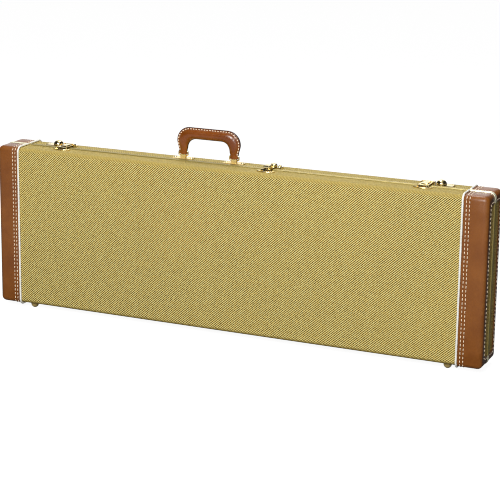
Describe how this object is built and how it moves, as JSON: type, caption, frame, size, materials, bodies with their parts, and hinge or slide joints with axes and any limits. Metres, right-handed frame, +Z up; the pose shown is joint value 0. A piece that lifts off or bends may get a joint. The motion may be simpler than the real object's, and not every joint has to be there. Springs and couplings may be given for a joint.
{
  "type": "guitar case",
  "caption": "Rectangular hard-shell guitar case in tweed cloth with brown leather end caps, white piping, a stitched leather handle and brass latches, hinges and feet.",
  "frame": {"origin": "bottom centre of the object, on the plane under the tips of its four spine feet", "axes": "+X along the case to the right as seen from the lid side, +Y from the lid to the base, +Z up to the handle"},
  "size_m": [1.1, 0.1028, 0.428],
  "materials": {
    "plywood": "bare plywood, hidden between cover and lining",
    "tweed": "lacquered diagonal tweed weave",
    "cap_leather": "smooth waxed brown leather with cream stitching",
    "handle_leather": "glossy brown leather with cream stitching",
    "piping": "white vinyl cord",
    "valance": "bright pale gold",
    "hardware": "polished",
    "pin_steel": "plain pin",
    "plush": "short brown plush",
    "ribbon": "woven ribbon"
  },
  "bodies": {
    "base": {"base_shell": "plywood", "base_tweed_cover": "tweed", "base_lining": "plush", "base_valance": "valance", "base_cap_left": "cap_leather", "base_cap_right": "cap_leather", "base_piping_left": "piping", "base_piping_right": "piping", "neck_cradle": "plush", "waist_block": "plush", "tail_block_upper": "plush", "tail_block_lower": "plush", "accessory_box": "plush", "handle_plate_left": "hardware", "handle_plate_right": "hardware", "lock_body_left": "hardware", "lock_body_middle": "hardware", "lock_body_right": "hardware", "base_foot_left": "hardware", "base_foot_right": "hardware", "hinge_base_leaf_left": "hardware", "hinge_base_leaf_middle": "hardware", "hinge_base_leaf_right": "hardware", "hinge_pin_left": "pin_steel", "hinge_pin_middle": "pin_steel", "hinge_pin_right": "pin_steel"},
    "lid": {"lid_shell": "plywood", "lid_tweed_cover": "tweed", "lid_lining": "plush", "lid_valance": "valance", "lid_cap_left": "cap_leather", "lid_cap_right": "cap_leather", "lid_piping_left": "piping", "lid_piping_right": "piping", "lid_pad": "plush", "lid_foot_left": "hardware", "lid_foot_right": "hardware", "hasp_plate_left": "hardware", "hasp_plate_middle": "hardware", "hasp_plate_right": "hardware", "hasp_pin_left": "pin_steel", "hasp_pin_middle": "pin_steel", "hasp_pin_right": "pin_steel", "hinge_lid_leaf_left": "hardware", "hinge_lid_leaf_middle": "hardware", "hinge_lid_leaf_right": "hardware"},
    "handle": {"handle_grip": "handle_leather", "handle_loop_left": "hardware", "handle_loop_right": "hardware"},
    "hasp_left": {"hasp_left": "hardware"},
    "hasp_middle": {"hasp_middle": "hardware"},
    "hasp_right": {"hasp_right": "hardware"},
    "slide_button_left": {"slide_button_left": "hardware"},
    "slide_button_middle": {"slide_button_middle": "hardware"},
    "slide_button_right": {"slide_button_right": "hardware"},
    "key_cylinder": {"key_cylinder": "hardware"},
    "compartment_lid": {"compartment_lid": "plush", "compartment_pull": "ribbon"}
  },
  "joints": [
    {"name": "lid_hinge", "type": "hinge", "parent": "base", "child": "lid", "pos_m": [0, -0.002, 0.0082], "axis": [1, 0, 0], "range_deg": [0, 115]},
    {"name": "handle_fold", "type": "hinge", "parent": "base", "child": "handle", "pos_m": [-0.076, 0.02, 0.3665], "axis": [1, 0, 0], "range_deg": [-80, 80]},
    {"name": "hasp_left_flip", "type": "hinge", "parent": "lid", "child": "hasp_left", "pos_m": [-0.407, -0.02, 0.3637], "axis": [1, 0, 0], "range_deg": [0, 120]},
    {"name": "hasp_middle_flip", "type": "hinge", "parent": "lid", "child": "hasp_middle", "pos_m": [0.0735, -0.026, 0.3637], "axis": [1, 0, 0], "range_deg": [0, 120]},
    {"name": "hasp_right_flip", "type": "hinge", "parent": "lid", "child": "hasp_right", "pos_m": [0.407, -0.02, 0.3637], "axis": [1, 0, 0], "range_deg": [0, 120]},
    {"name": "slide_button_left_travel", "type": "slide", "parent": "base", "child": "slide_button_left", "axis": [-1, 0, 0], "range_m": [0, 0.008], "stiffness_N_per_m": 250},
    {"name": "slide_button_middle_travel", "type": "slide", "parent": "base", "child": "slide_button_middle", "axis": [-1, 0, 0], "range_m": [0, 0.003], "stiffness_N_per_m": 250},
    {"name": "slide_button_right_travel", "type": "slide", "parent": "base", "child": "slide_button_right", "axis": [1, 0, 0], "range_m": [0, 0.008], "stiffness_N_per_m": 250},
    {"name": "key_turn", "type": "hinge", "parent": "base", "child": "key_cylinder", "pos_m": [0.0755, 0.0128, 0.364], "axis": [0, 0, 1], "range_deg": [0, 90]},
    {"name": "compartment_lid_hinge", "type": "hinge", "parent": "base", "child": "compartment_lid", "pos_m": [-0.11, 0.0009, 0.3468], "axis": [-1, 0, 0], "range_deg": [0, 80]}
  ],
  "couplings": [
    {"joint": "compartment_lid_hinge", "follows": "lid_hinge", "ratio": 0.69}
  ]
}
